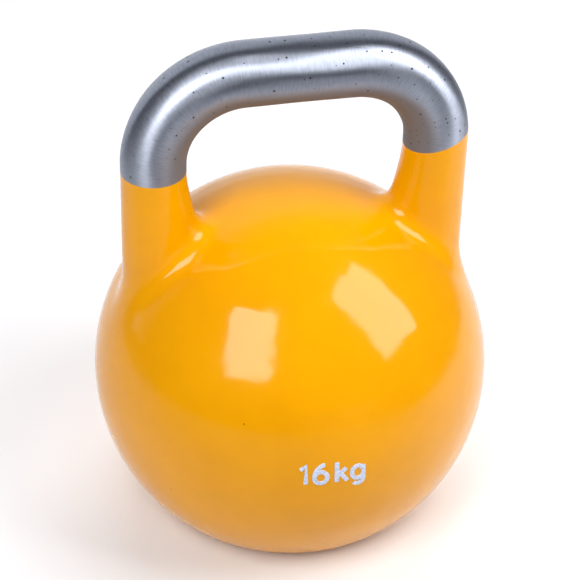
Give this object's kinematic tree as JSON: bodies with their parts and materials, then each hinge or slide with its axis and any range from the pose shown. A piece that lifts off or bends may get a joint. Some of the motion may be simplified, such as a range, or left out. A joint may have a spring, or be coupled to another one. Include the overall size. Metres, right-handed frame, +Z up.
{
  "type": "kettlebell",
  "caption": "Round enamelled ball with a flat base and two horns that carry a bare steel bar handle; ballast is bolted to a cover in the base.",
  "frame": {"origin": "middle of the base, at floor level, under the centre of the ball", "axes": "+Z up through the ball and the handle; X along the handle's grip; -Y is the front, where the weight is marked"},
  "size_m": [0.21, 0.21, 0.2744],
  "materials": {
    "yellow_enamel": "gloss",
    "ground_steel": "ground around the bar, with small casting pits",
    "cast_iron": "rough",
    "zinc_plated_steel": "zinc plated",
    "black_rubber": "matte"
  },
  "bodies": {
    "root": {"ball_shell": "yellow_enamel", "handle": "ground_steel", "base_cover": "zinc_plated_steel", "cover_seal": "black_rubber", "cover_screw_1": "zinc_plated_steel", "cover_screw_2": "zinc_plated_steel", "cover_screw_3": "zinc_plated_steel", "cover_screw_4": "zinc_plated_steel", "cover_screw_5": "zinc_plated_steel", "cover_screw_6": "zinc_plated_steel", "spacer_tube": "zinc_plated_steel", "ballast_disc_1": "cast_iron", "ballast_disc_2": "cast_iron", "ballast_disc_3": "cast_iron", "ballast_disc_4": "cast_iron", "ballast_disc_5": "cast_iron", "ballast_disc_6": "cast_iron", "trim_shim_1": "zinc_plated_steel", "trim_shim_2": "zinc_plated_steel", "trim_shim_3": "zinc_plated_steel", "clamp_washer": "zinc_plated_steel", "spring_washer": "zinc_plated_steel", "clamp_nut": "zinc_plated_steel", "ballast_bolt": "zinc_plated_steel"}
  },
  "joints": []
}
